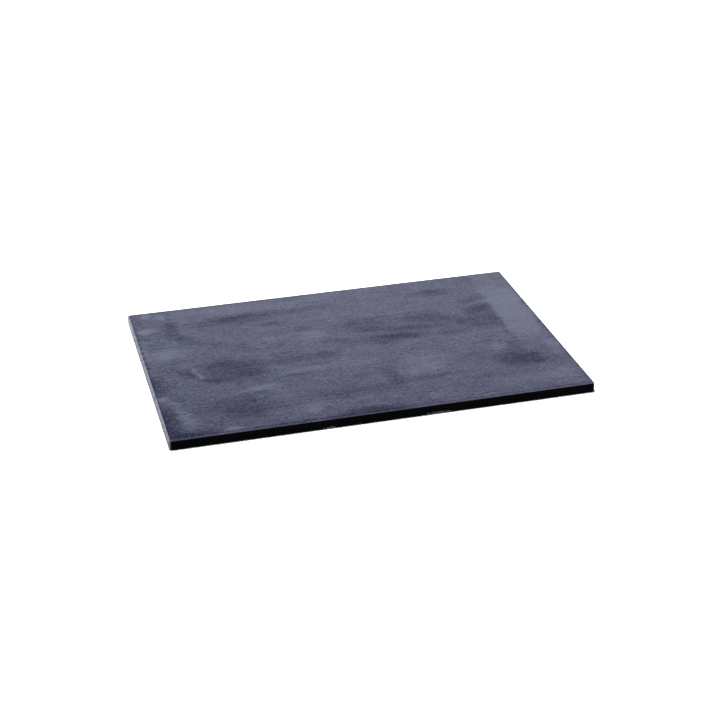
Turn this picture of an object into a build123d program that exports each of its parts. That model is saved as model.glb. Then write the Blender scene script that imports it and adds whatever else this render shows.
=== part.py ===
from build123d import *

import math
import os

# Granite bench slab for tooling and punching leather: a sawn stone plate with a honed
# top face, standing on four thin rubber feet that are stuck to its underside.
#
# Frame: millimetres, +Z up, +X along the length, -Y towards the person at the bench.
# Origin: the middle of the footprint, on the surface that the feet stand on.

INCH = 25.4

# Stone plate
slab_length = 18 * INCH
slab_width = 12 * INCH
slab_thickness = 11.2
top_arris = 1.8
bottom_arris = 0.6
corner_arris = 1.8

# Spalls broken out of the lower front edge: place along X, length and height of each
spalls = [(-61.5, 15.0, 1.2), (-29.5, 4.0, 0.9), (56.0, 28.0, 1.3)]

# Rubber feet
foot_diameter = 20.0
foot_height = 0.6
foot_inset = 32.0  # from the slab's sides to a foot's axis
foot_draft = 12.0  # degrees, so that a foot narrows towards its sole
sole_round = 0.2
dish_diameter = 7.0
groove_inner_diameter = 11.0
groove_outer_diameter = 13.0
sole_relief = 0.2  # depth of the dish and the groove

# Adhesive discs between the feet and the stone
disc_diameter = 19.0
disc_thickness = 0.2

# Heights and places that follow from the sizes above
standing_height = foot_height + disc_thickness
foot_x = slab_length / 2 - foot_inset
foot_y = slab_width / 2 - foot_inset
foot_places = {
    "front_left": (-foot_x, -foot_y),
    "front_right": (foot_x, -foot_y),
    "back_left": (-foot_x, foot_y),
    "back_right": (foot_x, foot_y),
}


def spall_ball(length, height):
    """Offset and radius of the ball that bites a piece of this length and height from a square edge.

    The ball's centre lies offset out from both faces of the edge.
    """
    half = length / 2
    offset = (half**2 - height**2) / (2 * height)
    radius = math.sqrt(2 * offset**2 + half**2)
    return offset, radius


def build_slab():
    """The stone plate: bevelled round the top, eased round the underside and the corners."""
    with BuildPart() as granite_slab:
        with BuildSketch(Plane.XY.offset(standing_height)):
            Rectangle(slab_length, slab_width)
        extrude(amount=slab_thickness)
        chamfer(granite_slab.edges().filter_by(Axis.Z), length=corner_arris)
        chamfer(granite_slab.faces().sort_by(Axis.Z)[-1].edges(), length=top_arris)
        chamfer(granite_slab.faces().sort_by(Axis.Z)[0].edges(), length=bottom_arris)
        for place, length, height in spalls:
            offset, radius = spall_ball(length, height)
            with Locations((place, -slab_width / 2 - offset, standing_height - offset)):
                Sphere(radius, mode=Mode.SUBTRACT)
    return granite_slab


def build_foot(x, y):
    """A round rubber foot: drafted side, rounded sole with a middle dish and a ring groove."""
    with BuildPart() as foot:
        with BuildSketch(Plane((x, y, foot_height))):
            Circle(foot_diameter / 2)
        extrude(amount=-foot_height, taper=foot_draft)
        fillet(foot.faces().sort_by(Axis.Z)[0].edges(), radius=sole_round)
        with BuildSketch(Plane((x, y, 0))):
            Circle(groove_outer_diameter / 2)
            Circle(groove_inner_diameter / 2, mode=Mode.SUBTRACT)
            Circle(dish_diameter / 2)
        extrude(amount=sole_relief, mode=Mode.SUBTRACT)
    return foot


def build_disc(x, y):
    """A die-cut disc of double-sided tape between a foot and the stone."""
    with BuildPart() as disc:
        with BuildSketch(Plane((x, y, foot_height))):
            Circle(disc_diameter / 2)
        extrude(amount=disc_thickness)
    return disc


def save(builder, name):
    """Labels a finished piece and writes it as its own STEP file."""
    builder.part.label = name
    export_step(builder.part, f"parts/{name}.step")


os.makedirs("parts", exist_ok=True)
save(build_slab(), "granite_slab")
for side, (x, y) in foot_places.items():
    save(build_foot(x, y), f"foot_{side}")
    save(build_disc(x, y), f"adhesive_{side}")
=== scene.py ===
import math
import random

import bpy
import numpy as np
from mathutils import Matrix, Vector, noise


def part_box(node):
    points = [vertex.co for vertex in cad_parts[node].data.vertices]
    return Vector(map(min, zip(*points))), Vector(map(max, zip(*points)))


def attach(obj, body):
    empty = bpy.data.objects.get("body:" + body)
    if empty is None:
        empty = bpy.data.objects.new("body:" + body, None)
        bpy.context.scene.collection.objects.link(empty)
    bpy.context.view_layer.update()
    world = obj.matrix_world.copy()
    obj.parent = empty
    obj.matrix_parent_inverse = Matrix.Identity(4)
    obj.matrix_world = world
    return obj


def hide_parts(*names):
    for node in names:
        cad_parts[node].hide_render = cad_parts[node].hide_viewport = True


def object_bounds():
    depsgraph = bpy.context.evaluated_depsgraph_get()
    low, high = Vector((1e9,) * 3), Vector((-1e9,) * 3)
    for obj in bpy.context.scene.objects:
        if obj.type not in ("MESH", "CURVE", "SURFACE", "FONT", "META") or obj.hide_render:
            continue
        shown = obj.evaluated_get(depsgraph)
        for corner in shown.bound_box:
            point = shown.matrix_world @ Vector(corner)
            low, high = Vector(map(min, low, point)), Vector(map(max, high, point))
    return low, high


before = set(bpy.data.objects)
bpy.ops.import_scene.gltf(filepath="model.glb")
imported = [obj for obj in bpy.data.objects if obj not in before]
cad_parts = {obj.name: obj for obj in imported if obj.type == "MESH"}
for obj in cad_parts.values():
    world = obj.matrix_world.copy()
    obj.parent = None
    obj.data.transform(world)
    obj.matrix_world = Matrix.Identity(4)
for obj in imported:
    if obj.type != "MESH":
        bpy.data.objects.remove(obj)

# The looks of a granite bench slab on four stick-on rubber feet. Lengths are metres, in the
# frame of the CAD model: +Z up, +X along the slab, -Y towards the person at the bench.
# Materials work in millimetres from the origin, which is on the table under the middle of the slab.

MM = 0.001
CORNERS = ("front_left", "front_right", "back_left", "back_right")

cad_low, cad_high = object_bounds()
slab_low, slab_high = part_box("granite_slab")
slab_size = slab_high - slab_low
slab_middle = (slab_low + slab_high) / 2


# ---------------------------------------------------------------- camera, light and floor

CAMERA_FROM_TOP = Vector((-0.4002, -1.5592, 0.8031))  # from the middle of the top face
CAMERA_HEADING = math.radians(14.75)  # clockwise from +Y, seen from above
CAMERA_DOWN = math.radians(26.98)
CAMERA_ROLL = math.radians(-0.58)
CAMERA_LENS = 80.87
CAMERA_SENSOR = 36.0
CAMERA_NEAR, CAMERA_FAR = 0.05, 60.0

KEY_TOWARDS = (-0.22, 0.13, 0.97)  # from the slab to the broad light above it
BACK_SOFTBOX = (0.75, 2.1, 1.1)
LEFT_SOFTBOX = (-1.3, 2.0, 0.60)

ROOM_COLOUR, ROOM_STRENGTH = (0.90, 0.94, 1.0, 1), 0.12
BACKDROP_COLOUR, BACKDROP_STRENGTH = (1, 1, 1, 1), 1.3

FLOOR_RADIUS = 30.0
FLOOR_CORNERS = 96
FLOOR_AS_LIT, FLOOR_AS_SEEN = (0.45, 0.45, 0.46, 1), (0.88, 0.88, 0.88, 1)


def add_object(name, data):
    thing = bpy.data.objects.new(name, data)
    bpy.context.scene.collection.objects.link(thing)
    return thing


def make_camera():
    data = bpy.data.cameras.new("camera")
    data.lens = CAMERA_LENS
    data.sensor_width = CAMERA_SENSOR
    data.clip_start = CAMERA_NEAR
    data.clip_end = CAMERA_FAR
    camera = add_object("camera", data)
    top_middle = Vector((slab_middle.x, slab_middle.y, slab_high.z))
    turn = (
        Matrix.Rotation(-CAMERA_HEADING, 4, "Z")
        @ Matrix.Rotation(math.radians(90) - CAMERA_DOWN, 4, "X")
        @ Matrix.Rotation(CAMERA_ROLL, 4, "Z")
    )
    camera.matrix_world = Matrix.Translation(top_middle + CAMERA_FROM_TOP) @ turn
    bpy.context.scene.camera = camera


def make_light(name, kind, place, **settings):
    """A light at `place` that shines on the slab."""
    data = bpy.data.lights.new(name, kind)
    for key, value in settings.items():
        setattr(data, key, value)
    lamp = add_object(name, data)
    lamp.location = place
    lamp.rotation_euler = Vector(place).to_track_quat("Z", "Y").to_euler()


def make_lights():
    make_light("key", "SUN", KEY_TOWARDS, energy=4.5, angle=math.radians(30))
    soft = {"shape": "RECTANGLE", "size": 1.4}
    make_light("back_softbox", "AREA", BACK_SOFTBOX, energy=9.0, size_y=0.8, **soft)
    make_light("left_softbox", "AREA", LEFT_SOFTBOX, energy=18.0, size_y=0.9, **soft)


def make_world():
    """A dim room to light by, and a white backdrop to look at."""
    world = bpy.data.worlds.new("studio")
    world.use_nodes = True
    tree = world.node_tree
    tree.nodes.clear()
    room = tree.nodes.new("ShaderNodeBackground")
    room.inputs["Color"].default_value = ROOM_COLOUR
    room.inputs["Strength"].default_value = ROOM_STRENGTH
    backdrop = tree.nodes.new("ShaderNodeBackground")
    backdrop.inputs["Color"].default_value = BACKDROP_COLOUR
    backdrop.inputs["Strength"].default_value = BACKDROP_STRENGTH
    rays = tree.nodes.new("ShaderNodeLightPath")
    mix = tree.nodes.new("ShaderNodeMixShader")
    output = tree.nodes.new("ShaderNodeOutputWorld")
    tree.links.new(rays.outputs["Is Camera Ray"], mix.inputs["Fac"])
    tree.links.new(room.outputs[0], mix.inputs[1])
    tree.links.new(backdrop.outputs[0], mix.inputs[2])
    tree.links.new(mix.outputs[0], output.inputs["Surface"])
    bpy.context.scene.world = world


def make_floor():
    """A pale round floor. It looks white, but throws less light back at the slab's underside and front.
    """
    points = []
    for i in range(FLOOR_CORNERS):
        angle = 2 * math.pi * i / FLOOR_CORNERS
        points.append((FLOOR_RADIUS * math.cos(angle), FLOOR_RADIUS * math.sin(angle), cad_low.z))
    mesh = bpy.data.meshes.new("floor")
    mesh.from_pydata(points, [], [range(FLOOR_CORNERS)])
    material, graph, shader = new_material("pale_floor")
    seen = graph.node("ShaderNodeLightPath").outputs["Is Camera Ray"]
    graph.feed(shader.inputs["Base Color"], graph.mix(seen, FLOOR_AS_LIT, FLOOR_AS_SEEN))
    shader.inputs["Roughness"].default_value = 0.9
    shader.inputs["Specular IOR Level"].default_value = 0.0
    mesh.materials.append(material)
    add_object("floor", mesh)


# ---------------------------------------------------------------- building materials


class Graph:
    """Short ways to add nodes to a material or a node group and join them."""

    def __init__(self, tree):
        self.tree = tree

    def node(self, kind, **settings):
        node = self.tree.nodes.new(kind)
        for key, value in settings.items():
            setattr(node, key, value)
        return node

    def feed(self, socket, value):
        """Joins another node's output to the socket, or sets the socket to a value."""
        if isinstance(value, bpy.types.NodeSocket):
            self.tree.links.new(value, socket)
        elif value is not None:
            socket.default_value = value

    def math(self, operation, a, b=None, c=None):
        node = self.node("ShaderNodeMath", operation=operation)
        for socket, value in zip(node.inputs, (a, b, c)):
            self.feed(socket, value)
        return node.outputs[0]

    def add(self, total, value, weight=1.0):
        """total + value x weight."""
        return self.math("MULTIPLY_ADD", value, weight, total)

    def vector(self, operation, a, b=None, scale=None):
        node = self.node("ShaderNodeVectorMath", operation=operation)
        self.feed(node.inputs[0], a)
        self.feed(node.inputs[1], b)
        if scale is not None:
            node.inputs["Scale"].default_value = scale
        return node.outputs["Value" if operation == "LENGTH" else "Vector"]

    def split(self, vector):
        node = self.node("ShaderNodeSeparateXYZ")
        self.feed(node.inputs[0], vector)
        return node.outputs

    def ramp(self, value, low, high, to_low=0.0, to_high=1.0, kind="SMOOTHSTEP"):
        """value from low to high becomes to_low to to_high, held beyond both ends."""
        node = self.node("ShaderNodeMapRange", interpolation_type=kind)
        for socket, number in zip(node.inputs, (value, low, high, to_low, to_high)):
            self.feed(socket, number)
        return node.outputs[0]

    def noise(self, place, scale, detail=2.0, roughness=0.5):
        """Cloudy noise from 0 to 1. The scale is in waves for each unit of the place."""
        return self._noise(place, scale, detail, roughness).outputs["Fac"]

    def wobble(self, place, scale, reach, detail=3.0, roughness=0.55):
        """The place, moved about by slow noise by up to about half of reach on each axis."""
        colour = self._noise(place, scale, detail, roughness).outputs["Color"]
        shift = self.vector("SUBTRACT", colour, (0.5, 0.5, 0.5))
        return self.vector("ADD", place, self.vector("MULTIPLY", shift, reach))

    def _noise(self, place, scale, detail, roughness):
        node = self.node("ShaderNodeTexNoise")
        self.feed(node.inputs["Vector"], place)
        node.inputs["Scale"].default_value = scale
        node.inputs["Detail"].default_value = detail
        node.inputs["Roughness"].default_value = roughness
        return node

    def cells(self, place, scale):
        """A random number from 0 to 1 for each crystal of a packing of them."""
        node = self.node("ShaderNodeTexVoronoi")
        self.feed(node.inputs["Vector"], place)
        node.inputs["Scale"].default_value = scale
        parts = self.node("ShaderNodeSeparateColor")
        self.feed(parts.inputs[0], node.outputs["Color"])
        return parts.outputs[0]

    def mix(self, share, a, b):
        """A colour that goes from a to b as share goes from 0 to 1."""
        node = self.node("ShaderNodeMix", data_type="RGBA")
        first_colour, second_colour, mixed_colour = node.inputs[6], node.inputs[7], node.outputs[2]
        self.feed(node.inputs["Factor"], share)
        self.feed(first_colour, a)
        self.feed(second_colour, b)
        return mixed_colour

    def blend(self, share, a, b):
        """A number that goes from a to b as share goes from 0 to 1."""
        node = self.node("ShaderNodeMix", data_type="FLOAT")
        factor, first_number, second_number = node.inputs[0], node.inputs[2], node.inputs[3]
        self.feed(factor, share)
        self.feed(first_number, a)
        self.feed(second_number, b)
        return node.outputs[0]

    def shade(self, colour, factor):
        """The colour, times a number."""
        node = self.node("ShaderNodeVectorMath", operation="SCALE")
        self.feed(node.inputs[0], colour)
        self.feed(node.inputs["Scale"], factor)
        return node.outputs["Vector"]

    def colours(self, value, stops):
        """A colour ramp, from pairs of position and colour."""
        node = self.node("ShaderNodeValToRGB")
        elements = node.color_ramp.elements
        elements[0].position, elements[0].color = stops[0]
        elements[1].position, elements[1].color = stops[-1]
        for position, colour in stops[1:-1]:
            elements.new(position).color = colour
        self.feed(node.inputs[0], value)
        return node.outputs[0]

    def attribute(self, name):
        return self.node("ShaderNodeAttribute", attribute_name=name).outputs["Fac"]

    def bump(self, height, distance, strength=1.0):
        node = self.node("ShaderNodeBump")
        self.feed(node.inputs["Height"], height)
        node.inputs["Distance"].default_value = distance
        node.inputs["Strength"].default_value = strength
        return node.outputs["Normal"]


def in_millimetres(graph):
    """Where the surface is, in mm from the origin."""
    return graph.vector("SCALE", graph.node("ShaderNodeTexCoord").outputs["Object"], scale=1 / MM)


def new_material(name):
    """A material with an empty Principled shader, and the graph to build it with."""
    material = bpy.data.materials.new(name)
    material.use_nodes = True
    return material, Graph(material.node_tree), material.node_tree.nodes["Principled BSDF"]


# ---------------------------------------------------------------- granite

# Wipe marks on the honed face: x and y of the middle (mm from the slab's middle), length, width (mm),
# turn (degrees) and strength. A dark mark is clean stone and a light one is a film of dried polish.
DARK_MARKS = [
    # along the back edge
    (-108, 105, 112, 30, 2, 0.30),
    (-104, 109, 70, 12, 2, 0.14),
    (-33, 112, 104, 14, 1, 0.18),
    (-187, 104, 26, 44, 0, 0.20),
    (-216, 80, 16, 9, 0, 0.16),
    (-220, 124, 14, 34, 0, 0.12),
    (126, 112, 62, 24, 3, 0.24),
    (134, 119, 38, 5, 0, 0.20),
    (98, 109, 26, 11, 10, 0.12),
    (170, 119, 38, 7, 2, 0.14),
    (181, 139, 20, 20, 0, 0.16),
    # left of the middle
    (-178, 72, 56, 20, -38, 0.20),
    (-143, 47, 28, 20, 0, 0.12),
    (-115, 38, 30, 20, 0, 0.14),
    (-72, 83, 52, 12, -8, 0.14),
    (-40, 62, 30, 22, 30, 0.15),
    # right of the middle, up to the pale band
    (165, 81, 52, 16, 16, 0.22),
    (168, 58, 44, 26, 10, 0.52),
    (160, 32, 54, 44, 0, 0.22),
    (137, 26, 17, 11, 0, 0.26),
    (176, 24, 18, 46, 0, 0.20),
    (25, 57, 64, 34, -6, 0.24),
    (33, 37, 42, 18, -12, 0.28),
    (74, 30, 66, 13, -5, 0.20),
    (108, 48, 64, 24, -10, 0.26),
    (128, 36, 11, 9, 0, 0.14),
    (53, 13, 80, 20, -3, 0.52),
    (58, 13, 28, 8, -4, 0.22),
    (-8, 18, 60, 16, -14, 0.16),
    (38, 0, 50, 16, 4, 0.18),
    (117, 6, 42, 9, -6, 0.20),
    (160, 8, 40, 18, 0, 0.12),
    # the large smears on the left
    (-134, -19, 92, 64, -18, 0.30),
    (-143, 1, 40, 18, -12, 0.18),
    (-120, -28, 34, 16, -6, 0.18),
    (-157, -38, 38, 14, -10, 0.24),
    (-188, -14, 44, 13, -54, 0.26),
    (-75, 5, 54, 12, 0, 0.15),
    (-72, -12, 58, 18, -4, 0.22),
    (-34, -11, 42, 18, -2, 0.22),
    (-33, -5, 34, 4, 0, 0.12),
    (-73, -50, 54, 4, 0, 0.26),
    (-222, -32, 24, 62, 0, 0.30),
    (-227, 11, 10, 16, 0, 0.28),
    # front left
    (-142, -102, 92, 68, -14, 0.20),
    (-166, -88, 9, 9, 0, 0.30),
    (-130, -93, 10, 10, 0, 0.30),
    (-144, -112, 46, 32, -10, 0.12),
    (-223, -120, 30, 84, 0, 0.40),
    (-202, -147, 76, 18, 3, 0.44),
    # along the front edge
    (-100, -150, 110, 8, 0, 0.26),
    (-18, -151, 90, 26, 1, 1.10),
    (58, -146, 100, 10, 2, 0.12),
    (150, -148, 120, 10, 0, 0.10),
    # front right
    (29, -91, 22, 38, 6, 0.26),
    (24, -66, 24, 42, 10, 0.16),
    (-28, -102, 110, 26, 2, 0.24),
    (-6, -71, 22, 11, 15, 0.20),
    (74, -92, 56, 9, 3, 0.16),
    (117, -104, 48, 8, 0, 0.14),
    (171, -77, 64, 42, -5, 0.54),
    (182, -71, 34, 14, -4, 0.34),
    (190, -89, 32, 16, -24, 0.24),
    (178, -44, 22, 40, 0, 0.15),
    (222, -4, 14, 56, 0, 0.14),
    (217, 128, 26, 12, 0, 0.12),
    (120, -56, 66, 24, 0, 0.08),
    (95, 34, 200, 84, -4, 0.11),
]
LIGHT_MARKS = [
    (-208, 141, 12, 16, 12, 0.80),
    (-194, 134, 13, 20, 4, 0.36),
    (-217, 101, 17, 15, 0, 0.95),
    (-206, 103, 11, 16, 0, 0.26),
    (-113, 133, 150, 28, 0, 0.20),
    (-20, 138, 70, 18, 0, 0.10),
    (12, 140, 30, 18, 0, 0.08),
    (-198, 38, 52, 36, -4, 0.34),
    (-222, 46, 12, 66, 0, 0.20),
    (-177, -14, 40, 7, -66, 0.22),
    (-172, -24, 9, 12, 0, 0.28),
    (-32, 40, 40, 32, -20, 0.28),
    (-75, 45, 52, 14, 0, 0.12),
    (-45, 20, 18, 16, 0, 0.12),
    (-62, -39, 92, 11, 8, 0.26),
    (-84, -27, 46, 8, -20, 0.18),
    (-47, -43, 34, 9, 4, 0.16),
    (-117, -67, 50, 16, 5, 0.32),
    (-150, -74, 40, 10, 0, 0.14),
    (72, -58, 64, 60, 6, 0.20),
    (51, -76, 16, 32, -6, 0.12),
    (-223, -66, 18, 12, 0, 0.42),
    (-210, -77, 24, 8, -55, 0.26),
    (-203, -112, 16, 64, 4, 0.24),
    (-72, -127, 26, 26, 0, 0.26),
    (-94, -84, 32, 18, -20, 0.14),
    (-162, -146, 26, 8, 3, 0.46),
    (178, 69, 21, 4, 38, 0.34),
    (65, 73, 140, 8, -1, 0.15),
    (214, 71, 32, 12, 4, 0.16),
    (217, -58, 16, 54, 0, 0.26),
    (153, -119, 74, 28, 2, 0.15),
    (55, -134, 18, 14, 0, 0.12),
    (157, -42, 26, 26, 0, 0.15),
    (205, -125, 60, 50, 0, 0.24),
    (204, 60, 44, 60, 0, 0.12),
    (112, -150, 230, 9, 0, 0.20),
    (-5, -38, 60, 36, 0, 0.14),
    (12, -3, 20, 3, -58, 0.14),
    (-158, 77, 32, 12, 8, 0.14),
    (-6, 88, 18, 28, 10, 0.10),
    (75, 40, 34, 5, -4, 0.10),
]

# A soft oval mark starts and is full at these shares of the way from its middle to its outline.
MARK_STARTS, MARK_FULL = 1.25, 0.10

# How much film there is where nothing else adds or takes any, and what a dark mark takes.
FILM_LEVEL = 0.59
DARK_MARK_WEIGHT = -1.15

# The pale band that runs down the right-hand end of the honed face, mm from the slab's middle. Each pair
# is where one edge of it starts and where the band is full. Past the back edge a little of it stays.
BAND_LEFT, BAND_RIGHT = (181, 187), (230, 216)
BAND_FRONT, BAND_BACK = (-44, -8), (124, 80)
BAND_PAST_BACK = 0.30
BAND_WEIGHT = 0.30

# Streaks that the cloth leaves in the film: waves in a millimetre along and across the slab, detail,
# roughness and weight. The last two run in no direction, and are patches and a fine mottle.
STREAKS = (
    ((0.010, 0.055, 0.0), 3.0, 0.55, 0.30),
    ((0.016, 0.26, 0.0), 4.0, 0.65, 0.52),
    ((0.09, 0.75, 0.0), 3.0, 0.60, 0.56),
    ((0.05, 0.05, 0.0), 4.0, 0.62, 0.40),
    ((0.42, 0.42, 0.0), 2.0, 0.60, 1.45),
)

# The film is rubbed thin along the edges: it starts to thin, and is thinnest, this many mm in.
RUBBED_FROM, RUBBED_TO = 5.0, 2.0
RUBBED_WEIGHT = -0.24
HALF_LENGTH, HALF_WIDTH = slab_size.x / 2 / MM, slab_size.y / 2 / MM

# Crystals in a millimetre, and the middle of the saw blade that cut the underside, mm.
COARSE_CRYSTALS, FINE_CRYSTALS = 0.80, 2.1
SAW_MIDDLE = (90.0, -520.0, 0.0)
SAW_ARCS = 1.9  # radians of the arcs' wave in a millimetre

# Colours of the bare stone, from its darkest crystals to its palest.
CRYSTAL_COLOURS = [
    (0.20, (0.0055, 0.0057, 0.015, 1)),
    (0.45, (0.014, 0.0143, 0.035, 1)),
    (0.66, (0.041, 0.0415, 0.082, 1)),
    (0.90, (0.115, 0.117, 0.170, 1)),
]
# The two colours that each finish varies between.
FILM_COLOURS = (0.0115, 0.0122, 0.0325, 1), (0.112, 0.1155, 0.150, 1)
FILM_TINTS = (0.975, 1.005, 0.985, 1), (1.01, 0.995, 1.01, 1)
# The ends' colours are pale partly as painted light, as if the end were lit from the left.
PAINTED_LIT_END_COLOURS = (0.095, 0.096, 0.112, 1), (0.31, 0.314, 0.352, 1)
GROUND_COLOURS = (0.090, 0.092, 0.110, 1), (0.20, 0.204, 0.236, 1)
UNDER_COLOURS = (0.050, 0.051, 0.062, 1), (0.115, 0.117, 0.130, 1)
CRUSHED_COLOURS = (0.30, 0.30, 0.32, 1), (0.72, 0.72, 0.74, 1)

# The long sides are the stone darkened by this factor to nearly black: painted shade.
SIDE_PAINTED_SHADE = 0.08
TOP_ROUGH, SIDE_ROUGH = (0.38, 0.55), (0.22, 0.40)
END_ROUGH, GROUND_ROUGH, UNDER_ROUGH, CRUSHED_ROUGH = 0.62, 0.60, 0.72, 0.88


def smear_group():
    """Node group: a soft oval mark's share at a place, from 0 outside to its strength in its middle."""
    tree = bpy.data.node_groups.new("smear", "ShaderNodeTree")
    for name, kind in (
        ("Place", "NodeSocketVector"),
        ("Middle", "NodeSocketVector"),
        ("Turn", "NodeSocketFloat"),
        ("Shrink", "NodeSocketVector"),
        ("Strength", "NodeSocketFloat"),
    ):
        tree.interface.new_socket(name, in_out="INPUT", socket_type=kind)
    tree.interface.new_socket("Amount", in_out="OUTPUT", socket_type="NodeSocketFloat")
    graph = Graph(tree)
    given = graph.node("NodeGroupInput").outputs
    offset = graph.vector("SUBTRACT", given["Place"], given["Middle"])
    turn = graph.node("ShaderNodeVectorRotate", rotation_type="Z_AXIS")
    graph.feed(turn.inputs["Vector"], offset)
    graph.feed(turn.inputs["Angle"], given["Turn"])
    reach = graph.vector("LENGTH", graph.vector("MULTIPLY", turn.outputs[0], given["Shrink"]))
    amount = graph.math("MULTIPLY", graph.ramp(reach, MARK_STARTS, MARK_FULL), given["Strength"])
    graph.feed(graph.node("NodeGroupOutput").inputs["Amount"], amount)
    return tree


def add_marks(graph, group, place, marks):
    """The sum of the marks in a list, as one number."""
    total = 0.0
    for x, y, length, width, turn, strength in marks:
        mark = graph.node("ShaderNodeGroup", node_tree=group)
        graph.feed(mark.inputs["Place"], place)
        mark.inputs["Middle"].default_value = (x, y, 0)
        mark.inputs["Turn"].default_value = -math.radians(turn)
        mark.inputs["Shrink"].default_value = (2 / length, 2 / width, 0)
        mark.inputs["Strength"].default_value = strength
        total = graph.math("ADD", mark.outputs[0], total)
    return total


def crystals(graph, place):
    """The stone itself: crystals up to about a millimetre across, as one number for how pale they are.

    Gives that number, and the coarse and the fine crystals that it is made of.
    """
    bent = graph.wobble(place, 0.9, (0.9, 0.9, 0.9), detail=2.0)
    coarse = graph.cells(bent, COARSE_CRYSTALS)
    fine = graph.cells(bent, FINE_CRYSTALS)
    clump = graph.noise(place, 0.16, 3.0, 0.6)
    value = graph.add(graph.math("MULTIPLY", coarse, 0.62), fine, 0.38)
    value = graph.add(value, graph.math("SUBTRACT", clump, 0.5), 0.45)
    return value, coarse, fine


def wiped_film_and_sheen(graph, place):
    """How much dried polish lies on the honed face, near 0 on clean stone and near 1 where it is thick,
    plus a painted sheen that makes the face paler towards the back.
    """
    bent = graph.wobble(place, 0.03, (12.0, 9.0, 0.0))
    bent = graph.wobble(bent, 0.12, (15.0, 8.0, 0.0), roughness=0.62)
    bent = graph.wobble(bent, 0.55, (5.0, 3.0, 0.0), detail=2.0)
    group = smear_group()
    broken = graph.noise(graph.vector("MULTIPLY", bent, (0.030, 0.18, 0.0)), 1.0, 4.0, 0.65)
    broken = graph.ramp(broken, 0.34, 0.66, 0.72, 1.28)
    dark = graph.math("MULTIPLY", add_marks(graph, group, bent, DARK_MARKS), broken)
    film = graph.add(FILM_LEVEL, dark, DARK_MARK_WEIGHT)
    film = graph.add(film, add_marks(graph, group, bent, LIGHT_MARKS))

    # a band down the right-hand end, with a fairly crisp inner edge
    x, y, _ = graph.split(graph.wobble(place, 0.12, (6.0, 8.0, 0.0)))
    band = graph.math("MULTIPLY", graph.ramp(x, *BAND_LEFT), graph.ramp(x, *BAND_RIGHT))
    band = graph.math("MULTIPLY", band, graph.ramp(y, *BAND_FRONT))
    band = graph.math("MULTIPLY", band, graph.ramp(y, *BAND_BACK, BAND_PAST_BACK, 1.0))
    film = graph.add(film, band, BAND_WEIGHT)

    # the cloth draws it out along the slab; the ramp just below is painted sheen that makes the face
    # paler towards the back
    film = graph.add(film, graph.ramp(y, -150, 150, -0.07, 0.09, "LINEAR"))
    for stretch, detail, roughness, weight in STREAKS:
        streak = graph.noise(graph.vector("MULTIPLY", bent, stretch), 1.0, detail, roughness)
        film = graph.add(film, graph.math("SUBTRACT", streak, 0.5), weight)

    # it is rubbed thin along the edges
    from_end = graph.math("SUBTRACT", HALF_LENGTH, graph.math("ABSOLUTE", x))
    from_side = graph.math("SUBTRACT", HALF_WIDTH, graph.math("ABSOLUTE", y))
    rubbed = graph.ramp(graph.math("MINIMUM", from_end, from_side), RUBBED_FROM, RUBBED_TO)
    return graph.add(film, rubbed, RUBBED_WEIGHT)


def honed_top(graph, place, stone):
    """The top: stone under a film that is thin where it looks dark, with a painted sheen that makes it
    paler towards the back. Gives colour and roughness.
    """
    film = wiped_film_and_sheen(graph, place)
    film_colour = graph.mix(film, *FILM_COLOURS)
    tint = graph.ramp(graph.noise(place, 0.014, 3.0, 0.6), 0.36, 0.64)
    film_colour = graph.vector("MULTIPLY", film_colour, graph.mix(tint, *FILM_TINTS))
    film_share = graph.ramp(film, 0.0, 0.7, 0.48, 0.88, "LINEAR")
    colour = graph.mix(film_share, stone, film_colour)
    colour = graph.shade(colour, graph.ramp(film, -0.5, 0.1, 0.68, 1.0, "LINEAR"))
    return colour, graph.ramp(film, 0.0, 1.0, *TOP_ROUGH, "LINEAR")


def sawn_end_painted_lit(graph, place, stone):
    """The ends: sawn, pale and blotchy, a little darker along the lower edge and paler near the back.
    Their pale colour is partly the sawn finish and partly painted light, as if lit from the left.

    Gives the colour and the blotches.
    """
    blotch = graph.noise(graph.vector("MULTIPLY", place, (0.0, 0.11, 0.30)), 1.0, 4.0, 0.68)
    height = graph.split(place)[2]
    blotch = graph.add(graph.ramp(height, -5.0, 4.0, -0.14, 0.06, "LINEAR"), blotch)
    y = graph.split(place)[1]
    # painted light: the ends are given a pale colour, as if lit from the left
    colour = graph.mix(graph.ramp(blotch, 0.38, 0.58), *PAINTED_LIT_END_COLOURS)
    colour = graph.mix(0.16, colour, stone)
    return graph.shade(colour, graph.ramp(y, 92.0, 125.0, 1.0, 1.45)), blotch


def ground_bevel(graph, stone, blotch, end, top_colour):
    """The bevels: ground by hand and left matt, and nearer to the top's colour on the long sides."""
    colour = graph.mix(graph.ramp(blotch, 0.32, 0.62), *GROUND_COLOURS)
    colour = graph.mix(0.22, colour, stone)
    return graph.mix(graph.blend(end, 0.6, 0.0), colour, graph.shade(top_colour, 1.5))


def sawn_underside(graph, place, stone):
    """The underside, which keeps the arcs of the saw blade. Gives the colour and the arcs."""
    from_saw = graph.vector("SUBTRACT", graph.wobble(place, 0.01, (8.0, 8.0, 0.0)), SAW_MIDDLE)
    radius = graph.vector("LENGTH", graph.vector("MULTIPLY", from_saw, (1.0, 1.0, 0.0)))
    arcs = graph.math("SINE", graph.math("MULTIPLY", radius, SAW_ARCS))
    arcs = graph.math("MULTIPLY", arcs, graph.noise(place, 0.02, 3.0, 0.6))
    slurry = graph.noise(place, 0.035, 5.0, 0.62)
    colour = graph.mix(graph.ramp(slurry, 0.3, 0.7), *UNDER_COLOURS)
    colour = graph.shade(colour, graph.add(1.0, arcs, 0.35))
    return graph.mix(0.40, colour, stone), arcs


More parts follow.
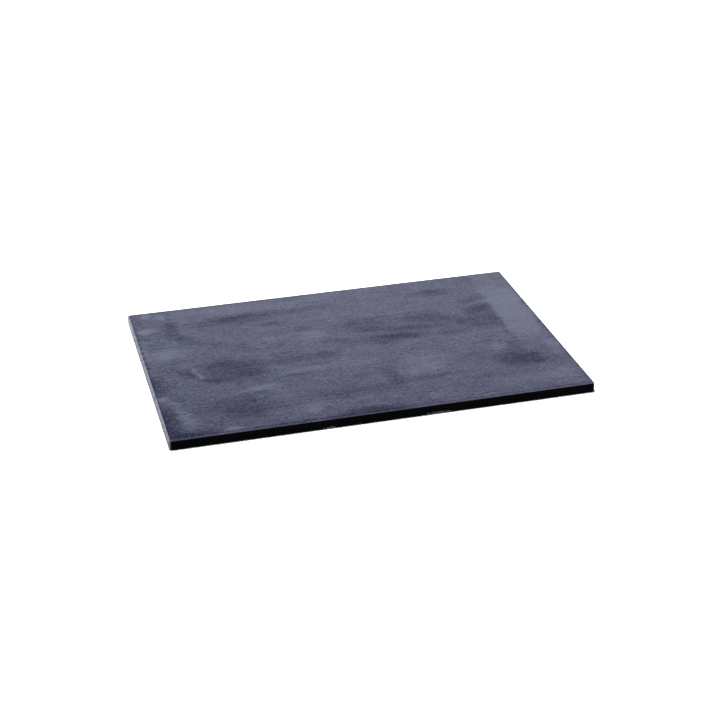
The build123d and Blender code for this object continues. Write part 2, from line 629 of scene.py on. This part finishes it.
def granite_material():
    """Granite, with a finish for each kind of surface. Layers of the mesh say which kind is where."""
    material, graph, shader = new_material("granite")
    place = in_millimetres(graph)
    honed = graph.attribute("honed")
    ground = graph.attribute("ground")
    fracture = graph.attribute("fracture")
    end = graph.attribute("end")
    under = graph.attribute("under")
    grain, coarse, fine = crystals(graph, place)
    stone = graph.colours(grain, CRYSTAL_COLOURS)

    top_colour, top_rough = honed_top(graph, place, stone)
    # painted shade: the polished long sides are darkened to nearly black
    painted_shade_side_colour = graph.shade(stone, SIDE_PAINTED_SHADE)  # polished, and nearly black
    side_rough = graph.blend(coarse, *SIDE_ROUGH)
    painted_lit_end_colour, blotch = sawn_end_painted_lit(graph, place, stone)
    ground_colour = ground_bevel(graph, stone, blotch, end, top_colour)
    under_colour, arcs = sawn_underside(graph, place, stone)

    colour = graph.mix(end, painted_shade_side_colour, painted_lit_end_colour)
    colour = graph.mix(under, colour, under_colour)
    colour = graph.mix(ground, colour, ground_colour)
    colour = graph.mix(honed, colour, top_colour)
    crushed = graph.mix(graph.ramp(fine, 0.1, 0.9), *CRUSHED_COLOURS)
    colour = graph.mix(fracture, colour, crushed)
    graph.feed(shader.inputs["Base Color"], colour)

    rough = graph.blend(end, side_rough, END_ROUGH)
    rough = graph.blend(ground, rough, GROUND_ROUGH)
    rough = graph.blend(under, rough, UNDER_ROUGH)
    rough = graph.blend(honed, rough, top_rough)
    rough = graph.blend(fracture, rough, CRUSHED_ROUGH)
    graph.feed(shader.inputs["Roughness"], rough)
    shader.inputs["Specular IOR Level"].default_value = 0.09

    pits = graph.ramp(fine, 0.0, 0.16, -1.0, 0.0)
    grit = graph.noise(place, 3.0, 3.0, 0.6)
    polished = graph.math("MULTIPLY", graph.math("ADD", graph.math("MULTIPLY", coarse, 0.5), pits), 0.30)
    sawn = graph.add(graph.math("MULTIPLY", grit, 1.6), coarse, 0.7)
    sawn_under = graph.add(sawn, arcs, 0.9)
    relief = graph.blend(end, polished, sawn)
    relief = graph.blend(under, relief, sawn_under)
    relief = graph.blend(honed, relief, graph.add(polished, grit, 0.12))
    graph.feed(shader.inputs["Normal"], graph.bump(relief, 0.05 * MM, 0.9))
    return material


# ---------------------------------------------------------------- shapes in section

TOP_BEVEL = 1.8 * MM
LOWER_BEVEL = 0.6 * MM
CORNER = 2.2 * MM  # radius of the upright corners
SMALLEST_CORNER = 0.15 * MM
RIM = 4.0 * MM  # how far in from the outline the flat faces begin
CURVE_STEP = 0.4  # steps round a curve, as a share of those on a straight run


def rounded_profile(corners, step):
    """Points along straight runs between (x, z, radius) corners, with a curve at each inner corner."""
    points = [Vector(corners[0][:2])]
    for before, here, after in zip(corners, corners[1:], corners[2:]):
        at = Vector(here[:2])
        back = (Vector(before[:2]) - at).normalized()
        ahead = (Vector(after[:2]) - at).normalized()
        turn = math.pi - back.angle(ahead)
        reach = here[2] * math.tan(turn / 2)
        start, end = at + back * reach, at + ahead * reach
        points.append(start)
        steps = max(2, round(here[2] * turn / (step * CURVE_STEP)))
        for i in range(1, steps):
            t = i / steps
            points.append(start * (1 - t) ** 2 + at * 2 * t * (1 - t) + end * t**2)
        points.append(end)
    points.append(Vector(corners[-1][:2]))
    dense = [points[0]]
    for a, b in zip(points, points[1:]):
        pieces = max(1, round((b - a).length / step))
        dense += [a.lerp(b, i / pieces) for i in range(1, pieces + 1)]
    return dense


def make_piece(name, points, faces, material, node, layers=()):
    """A smooth-shaded piece that stands for a CAD node and rides with it."""
    mesh = bpy.data.meshes.new(name)
    mesh.from_pydata(points, [], faces)
    mesh.validate()
    mesh.shade_smooth()
    for layer, values in layers:
        attribute = mesh.attributes.new(layer, "FLOAT", "POINT")
        attribute.data.foreach_set("value", np.asarray(values, np.float32))
    mesh.materials.append(material)
    piece = add_object(name, mesh)
    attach(piece, "root")
    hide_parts(node)


# ---------------------------------------------------------------- slab

STATION_STEP = 0.6 * MM
PROFILE_STEP = 0.55 * MM
CORNER_STATIONS = 9

# The hand-ground bevel goes up to this much too deep, in slow and quick waves (turns in a metre).
WAVER_DEPTH = 0.10 * MM
SLOW_WAVES, QUICK_WAVES = 40, 160

# Spalls in the lower front edge: place along X, length and height, in mm. Small bites make each one's
# rim ragged: how many to a millimetre of it, their least and most length for the spall's height, and
# their height for their own length.
SPALLS = ((-61.5, 15.0, 1.2), (-29.5, 4.0, 0.9), (56.0, 28.0, 1.3))
BITES_PER_MM = 0.65
BITE_LENGTHS = 1.0, 3.4
BITE_HEIGHT = 0.42

SEED = 7

# Small nicks all round: how many in the top and the bottom arris, their least and most length in mm,
# and their least and most height for their length.
TOP_NICKS, BOTTOM_NICKS = 12, 40
NICK_LENGTHS = 1.2, 3.8
NICK_HEIGHTS = 0.14, 0.24
NICKS_ON_LONG_SIDES = 0.6
CLEAR_OF_CORNERS = 0.97

# A broken face: how rough it is, its waves in a metre, and how deep into a break it is fully pale.
RAGGED_DEPTH = 0.36 * MM
RAGGED_WAVES = 900
BREAK_FADE = 0.12 * MM
BITE_REACH = 1.02  # a bite moves points within this many of its radii


def slab_outline(inset):
    """Stations round the outline, moved in by inset, anticlockwise from the front left corner.

    Gives the points and, for each, 1 on an end or a corner and 0 on a long side.
    """
    radius = max(CORNER - inset, SMALLEST_CORNER)
    half = Vector((slab_size.x / 2 - inset - radius, slab_size.y / 2 - inset - radius))
    points, facing = [], []
    for quarter, signs in enumerate(((-1, -1), (1, -1), (1, 1), (-1, 1))):
        centre = Vector((signs[0] * half.x, signs[1] * half.y))
        start = math.pi + quarter * math.pi / 2
        for i in range(CORNER_STATIONS):
            angle = start + math.pi / 2 * i / (CORNER_STATIONS - 1)
            points.append(centre + radius * Vector((math.cos(angle), math.sin(angle))))
            facing.append(1.0 if abs(math.cos(angle)) > 0.05 else 0.0)
        on_long_side = quarter % 2 == 0
        length = 2 * (half.x if on_long_side else half.y)
        stations = round((slab_size.x if on_long_side else slab_size.y) / STATION_STEP)
        step = Vector((-math.sin(angle), math.cos(angle))) * length / stations
        last = points[-1]
        points += [last + step * i for i in range(1, stations)]
        facing += [0.0 if on_long_side else 1.0] * (stations - 1)
    return np.array(points), np.array(facing)


def ball_for_bite(x, y, out, z_edge, up, length, height):
    """A ball that bites a scallop of this length and height from an arris: its centre and radius."""
    half = length / 2
    offset = (half**2 - height**2) / (2 * height)
    centre = Vector((x + out[0] * offset, y + out[1] * offset, z_edge + up * offset))
    return centre, math.sqrt(2 * offset**2 + half**2)


def make_bites():
    """The spalls in the lower front edge, each with a ragged rim, and small nicks all round."""
    source = random.Random(SEED)
    half_x, half_y = slab_size.x / 2, slab_size.y / 2
    bites = []
    for place, length, height in SPALLS:
        x, long, high = place * MM, length * MM, height * MM
        bites.append(ball_for_bite(x, -half_y, (0, -1), slab_low.z, -1, long, high))
        for _ in range(round(length * BITES_PER_MM)):
            at = x + source.uniform(-0.5, 0.5) * long
            size = source.uniform(*BITE_LENGTHS) * high
            bites.append(ball_for_bite(at, -half_y, (0, -1), slab_low.z, -1, size, size * BITE_HEIGHT))
    for count, z_edge, up in ((TOP_NICKS, slab_high.z, 1), (BOTTOM_NICKS, slab_low.z, -1)):
        for _ in range(count):
            length = source.uniform(*NICK_LENGTHS) * MM
            height = length * source.uniform(*NICK_HEIGHTS)
            side = source.choice((-1, 1))
            if source.random() < NICKS_ON_LONG_SIDES:
                x, y, out = source.uniform(-half_x, half_x) * CLEAR_OF_CORNERS, side * half_y, (0, side)
            else:
                x, y, out = side * half_x, source.uniform(-half_y, half_y) * CLEAR_OF_CORNERS, (side, 0)
            bites.append(ball_for_bite(x, y, out, z_edge, up, length, height))
    return bites


def waver_bevel(points, bevel, end):
    """Moves the bevel in a little here and there. bevel and end say how much a point is on them."""
    for i in np.nonzero(bevel)[0]:
        at = Vector(points[i])
        wave = noise.noise(at * SLOW_WAVES) + 0.5 * noise.noise(at * QUICK_WAVES)
        depth = bevel[i] * WAVER_DEPTH * (0.5 + 0.5 * wave)
        points[i, 2] -= depth
        points[i, 0 if end[i] > 0.5 else 1] *= 1 - depth / slab_size.y


def break_arrises(points):
    """Bites the spalls and nicks out. Gives how broken the stone is at each point, from 0 to 1."""
    fracture = np.zeros(len(points))
    for centre, radius in make_bites():
        away = points - np.array(centre)
        distance = np.linalg.norm(away, axis=1)
        for i in np.nonzero(distance < radius * BITE_REACH)[0]:
            ragged = noise.fractal(Vector(points[i]) * RAGGED_WAVES, 0.8, 2.0, 3) * RAGGED_DEPTH
            wanted = radius + ragged
            if distance[i] < wanted:
                points[i] = np.array(centre) + away[i] / distance[i] * wanted
                fracture[i] = min(1.0, fracture[i] + (wanted - distance[i]) / BREAK_FADE)
    return fracture


def make_slab(material):
    top, bottom = slab_high.z, slab_low.z
    profile = rounded_profile(
        [
            (RIM, top, 0),
            (TOP_BEVEL, top, 0.7 * MM),
            (0, top - TOP_BEVEL, 0.9 * MM),
            (0, bottom + LOWER_BEVEL, 0.3 * MM),
            (LOWER_BEVEL, bottom, 0.3 * MM),
            (RIM, bottom, 0),
        ],
        PROFILE_STEP,
    )
    rings = [slab_outline(point.x) for point in profile]
    count = len(rings[0][0])
    inset = np.repeat([point.x for point in profile], count)
    height = np.repeat([point.y for point in profile], count)
    points = np.column_stack([np.concatenate([ring for ring, _ in rings]), height])
    end = np.concatenate([facing for _, facing in rings])
    upper = height > (top + bottom) / 2

    bevel = np.clip(1 - np.abs(inset - TOP_BEVEL / 2) / (TOP_BEVEL * 0.9), 0, 1) * upper
    waver_bevel(points, bevel, end)
    fracture = break_arrises(points)

    faces = []
    for ring in range(len(rings) - 1):
        a, b = ring * count, (ring + 1) * count
        for i in range(count):
            j = (i + 1) % count
            faces.append((a + j, a + i, b + i, b + j))
    last = (len(rings) - 1) * count
    faces.append(tuple(range(count)))
    faces.append(tuple(last + i for i in reversed(range(count))))

    # how much of each finish a point has, with a narrow fade between them
    layers = [
        ("honed", np.clip((inset - 0.86 * TOP_BEVEL) / (0.14 * TOP_BEVEL), 0, 1) * upper),
        ("ground", np.clip(inset / (0.15 * TOP_BEVEL), 0, 1) * (inset < 1.02 * TOP_BEVEL) * upper),
        ("under", np.clip(inset / LOWER_BEVEL, 0, 1) * ~upper),
        ("fracture", fracture),
        ("end", end),
    ]
    make_piece("granite_slab_body", points.tolist(), faces, material, "granite_slab", layers)


# ---------------------------------------------------------------- feet and tape

FOOT_STEPS = 96
FOOT_PROFILE_STEP = 0.18 * MM
TAPE_PROFILE_STEP = 0.08 * MM

# The sole of a foot from its middle out: the mark of the mould's gate in a dish, a flat land, a groove
# and an outer land. The radii are where each sloping wall starts and ends.
SOLE_DEPTH = 0.2 * MM
GATE_TOP, GATE_FOOT = 0.68 * MM, 0.80 * MM
DISH_FLOOR, DISH_RIM = 2.90 * MM, 3.50 * MM
GROOVE_INNER_RIM, GROOVE_INNER_FLOOR = 5.45 * MM, 5.65 * MM
GROOVE_OUTER_FLOOR, GROOVE_OUTER_RIM = 6.35 * MM, 6.55 * MM
FOOT_DRAFT = 0.13 * MM
SCUFFED = 0.12 * MM  # how high above the sole its scuffs end

TAPE_DRAWN_IN = 0.06 * MM
TAPE_WAVER = 0.012


def revolve(profile, centre, steps, waver=0.0, seed=0.0):
    """Points and faces of a profile, from axis to axis, turned about an upright line through centre.

    waver moves the surface in by up to that share of its radius, as round a die-cut edge.
    """
    points = [(centre.x, centre.y, profile[0].y)]
    for ring in profile[1:-1]:
        for i in range(steps):
            angle = 2 * math.pi * i / steps
            around = Vector((3.0 * math.cos(angle), 3.0 * math.sin(angle), seed))
            radius = ring.x * (1 - waver * (0.5 + 0.5 * noise.noise(around)))
            x, y = radius * math.cos(angle), radius * math.sin(angle)
            points.append((centre.x + x, centre.y + y, ring.y))
    points.append((centre.x, centre.y, profile[-1].y))
    faces = [(0, 1 + (i + 1) % steps, 1 + i) for i in range(steps)]
    rings = len(profile) - 2
    for ring in range(rings - 1):
        a, b = 1 + ring * steps, 1 + (ring + 1) * steps
        faces += [(a + i, a + (i + 1) % steps, b + (i + 1) % steps, b + i) for i in range(steps)]
    last = 1 + (rings - 1) * steps
    faces += [(last + i, last + (i + 1) % steps, len(points) - 1) for i in range(steps)]
    return points, faces


def make_feet(material):
    for corner in CORNERS:
        node = "foot_" + corner
        low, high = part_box(node)
        centre = (low + high) / 2
        outer = (high.x - low.x) / 2
        floor = low.z + SOLE_DEPTH
        profile = rounded_profile(
            [
                (0, high.z, 0),
                (outer, high.z, 0.08 * MM),
                (outer - FOOT_DRAFT, low.z, 0.20 * MM),
                (GROOVE_OUTER_RIM, low.z, 0.15 * MM),
                (GROOVE_OUTER_FLOOR, floor, 0.14 * MM),
                (GROOVE_INNER_FLOOR, floor, 0.14 * MM),
                (GROOVE_INNER_RIM, low.z, 0.15 * MM),
                (DISH_RIM, low.z, 0.20 * MM),
                (DISH_FLOOR, floor, 0.50 * MM),
                (GATE_FOOT, floor, 0.16 * MM),
                (GATE_TOP, low.z + 0.62 * SOLE_DEPTH, 0.10 * MM),
                (0, low.z + 0.60 * SOLE_DEPTH, 0),
            ],
            FOOT_PROFILE_STEP,
        )
        points, faces = revolve(profile, centre, FOOT_STEPS)
        layers = [("sole", [max(0.0, 1 - (z - low.z) / SCUFFED) for _, _, z in points])]
        make_piece("rubber_foot_" + corner, points, faces, material, node, layers)


def make_tape_discs(material):
    for number, corner in enumerate(CORNERS):
        node = "adhesive_" + corner
        low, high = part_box(node)
        centre = (low + high) / 2
        outer = (high.x - low.x) / 2
        profile = rounded_profile(
            [
                (0, high.z, 0),
                (outer, high.z, 0.02 * MM),
                (outer - TAPE_DRAWN_IN, centre.z, 0.05 * MM),
                (outer, low.z, 0.02 * MM),
                (0, low.z, 0),
            ],
            TAPE_PROFILE_STEP,
        )
        points, faces = revolve(profile, centre, FOOT_STEPS, waver=TAPE_WAVER, seed=7.0 * number)
        make_piece("tape_disc_" + corner, points, faces, material, node)


def rubber_material():
    """Moulded black rubber: a fine spark-eroded grain, paler where dust sits, rubbed on the sole."""
    material, graph, shader = new_material("moulded_rubber")
    place = in_millimetres(graph)
    sole = graph.attribute("sole")
    grain = graph.noise(place, 5.0, 3.0, 0.6)
    patch = graph.noise(place, 0.35, 4.0, 0.6)
    dust = graph.ramp(graph.add(graph.math("MULTIPLY", patch, 0.7), grain, 0.4), 0.50, 0.78)
    scuff = graph.noise(graph.vector("MULTIPLY", place, (0.4, 4.0, 0.4)), 1.0, 3.0, 0.6)
    scuff = graph.math("MULTIPLY", graph.ramp(scuff, 0.52, 0.72), sole)
    colour = graph.mix(graph.ramp(patch, 0.3, 0.7), (0.016, 0.016, 0.018, 1), (0.030, 0.030, 0.032, 1))
    colour = graph.mix(graph.math("MULTIPLY", dust, 0.5), colour, (0.16, 0.155, 0.145, 1))
    colour = graph.mix(graph.math("MULTIPLY", scuff, 0.6), colour, (0.10, 0.10, 0.10, 1))
    graph.feed(shader.inputs["Base Color"], colour)
    rough = graph.blend(sole, 0.62, 0.46)
    graph.feed(shader.inputs["Roughness"], graph.add(rough, dust, 0.25))
    shader.inputs["Specular IOR Level"].default_value = 0.4
    graph.feed(shader.inputs["Normal"], graph.bump(graph.add(grain, scuff, 0.6), 0.03 * MM, 0.8))
    return material


def tape_material():
    """Pale foam tape: open cells in its cut edge, darkened as painted shade in the pores, yellowed and a
    little dirty.
    """
    material, graph, shader = new_material("foam_tape")
    place = in_millimetres(graph)
    cell = graph.cells(place, 9.0)
    patch = graph.noise(place, 0.6, 4.0, 0.6)
    dirt = graph.ramp(graph.noise(place, 1.7, 4.0, 0.65), 0.48, 0.75)
    colour = graph.mix(graph.ramp(patch, 0.3, 0.7), (0.60, 0.58, 0.52, 1), (0.50, 0.46, 0.37, 1))
    # painted shade: some cells are darkened to stand for the shade inside open pores
    colour = graph.mix(graph.ramp(cell, 0.0, 0.25, 0.45, 0.0), colour, (0.26, 0.24, 0.20, 1))
    colour = graph.mix(graph.math("MULTIPLY", dirt, 0.5), colour, (0.16, 0.15, 0.14, 1))
    graph.feed(shader.inputs["Base Color"], colour)
    graph.feed(shader.inputs["Roughness"], graph.blend(dirt, 0.66, 0.85))
    shader.inputs["Specular IOR Level"].default_value = 0.3
    graph.feed(shader.inputs["Normal"], graph.bump(graph.add(cell, patch, 0.5), 0.03 * MM, 0.8))
    return material


make_camera()
make_floor()
make_lights()
make_world()
make_slab(granite_material())
make_feet(rubber_material())
make_tape_discs(tape_material())

view = bpy.context.scene.view_settings
view.view_transform = "Standard"
view.look = "High Contrast"
